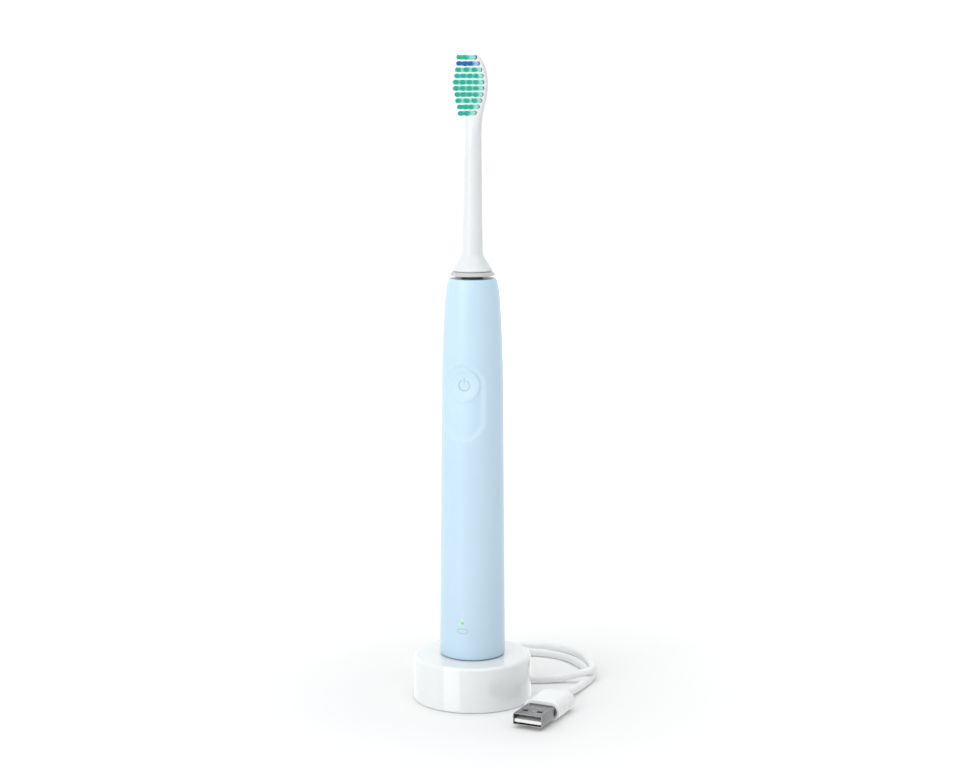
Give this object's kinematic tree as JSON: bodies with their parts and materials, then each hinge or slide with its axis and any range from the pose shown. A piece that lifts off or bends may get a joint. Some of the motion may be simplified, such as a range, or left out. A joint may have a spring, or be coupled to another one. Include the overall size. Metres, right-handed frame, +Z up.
{
  "type": "electric toothbrush on charger",
  "caption": "Slim round sonic toothbrush with a pull-off brush head, standing on a round inductive charging puck with a USB lead and plug.",
  "frame": {"origin": "centre of the charging puck's foot, on the surface it stands on", "axes": "+Z up along the handle and its drive shaft, -Y towards the button and the bristles' side, +X to the right of someone who faces the button"},
  "size_m": [0.0822, 0.1092, 0.2552],
  "materials": {
    "charger_gloss": "glossy white moulded plastic",
    "charger_underside": "fine matte white plastic",
    "foot_rubber": "soft grey rubber",
    "screw_steel": "zinc plated steel",
    "board_green": "solder-masked glass-epoxy board",
    "ferrite": "pressed dark ferrite",
    "copper": "enamelled copper winding",
    "cord_jacket": "smooth off-white cable jacket",
    "grip_white": "satin white overmoulding",
    "plug_dark": "dark grey plug insert",
    "plug_steel": "formed nickel plated sheet steel",
    "tongue_white": "white contact carrier",
    "gold": "gold plated contacts",
    "shell_blue": "satin light blue plastic",
    "pad_blue": "soft-touch light blue pad",
    "button_blue": "satin light blue button",
    "symbol_grey": "printed pale grey line",
    "lens_green": "translucent light pipe",
    "cap_blue": "satin light blue plastic",
    "seal_black": "black elastomer ring",
    "bobbin_cream": "cream moulded bobbin",
    "chassis_grey": "glass-filled grey plastic",
    "cell_wrap": "shrink wrap sleeve",
    "nickel": "nickel strip",
    "switch_black": "black moulded switch",
    "led_body": "clear resin package",
    "clamp_steel": "machined steel",
    "spring_steel": "ground spring steel",
    "core_iron": "stacked iron laminations",
    "bearing_bronze": "sintered bronze",
    "seal_grey": "dark grey elastomer seal",
    "shaft_steel": "ground stainless steel",
    "magnet": "nickel plated magnets",
    "head_white": "satin white plastic",
    "ring_grey": "pale grey plastic",
    "socket_white": "natural white plastic",
    "clip_steel": "spring steel",
    "bristle_green": "translucent green nylon",
    "bristle_blue": "blue nylon",
    "anchor_brass": "brass anchor wire"
  },
  "bodies": {
    "charger": {"charger_housing": "charger_gloss", "charger_base_plate": "charger_underside", "charger_foot": "foot_rubber", "charger_screws": "screw_steel", "charger_board": "board_green", "ferrite_rod": "ferrite", "charger_coil": "copper", "strain_relief": "cord_jacket", "cord_lead": "cord_jacket", "cord_coil": "cord_jacket", "cord_tail": "cord_jacket", "plug_grip": "grip_white", "plug_shoulder": "plug_dark", "plug_shell": "plug_steel", "plug_tongue": "tongue_white", "plug_contacts": "gold"},
    "handle": {"handle_shell": "shell_blue", "button_pad": "pad_blue", "battery_symbol": "symbol_grey", "light_pipe": "lens_green", "end_cap": "cap_blue", "end_cap_seal": "seal_black", "receiver_bobbin": "bobbin_cream", "receiver_coil": "copper", "chassis": "chassis_grey", "battery_cell": "cell_wrap", "battery_tabs": "nickel", "circuit_board": "board_green", "board_screws": "screw_steel", "tact_switch": "switch_black", "indicator_led": "led_body", "spring_clamp": "clamp_steel", "torsion_bar": "spring_steel", "stator_core": "core_iron", "stator_coil": "copper", "lower_bearing": "bearing_bronze", "upper_bearing": "bearing_bronze", "shaft_seal": "seal_grey"},
    "button": {"power_button": "button_blue", "power_symbol": "symbol_grey", "button_plunger": "switch_black"},
    "drive_train": {"drive_shaft": "shaft_steel", "rotor_hub": "clamp_steel", "rotor_magnets": "magnet"},
    "brush_head": {"brush_head_body": "head_white", "collar_ring": "ring_grey", "shaft_socket": "socket_white", "retaining_clip": "clip_steel", "tufts_green": "bristle_green", "tufts_blue": "bristle_blue", "tuft_anchors": "anchor_brass"}
  },
  "joints": [
    {"name": "handle_lift", "type": "slide", "parent": "charger", "child": "handle", "axis": [0, 0, 1], "range_m": [0, 0.04]},
    {"name": "button_press", "type": "slide", "parent": "handle", "child": "button", "axis": [0, 1, 0], "range_m": [0, 0.0005], "stiffness_N_per_m": 1500},
    {"name": "drive_swing", "type": "hinge", "parent": "handle", "child": "drive_train", "pos_m": [0, 0, 0.15], "axis": [0, 0, 1], "range_deg": [-5, 5], "stiffness_Nm_per_rad": 0.25},
    {"name": "head_pull", "type": "slide", "parent": "drive_train", "child": "brush_head", "axis": [0, 0, 1], "range_m": [0, 0.028]}
  ]
}
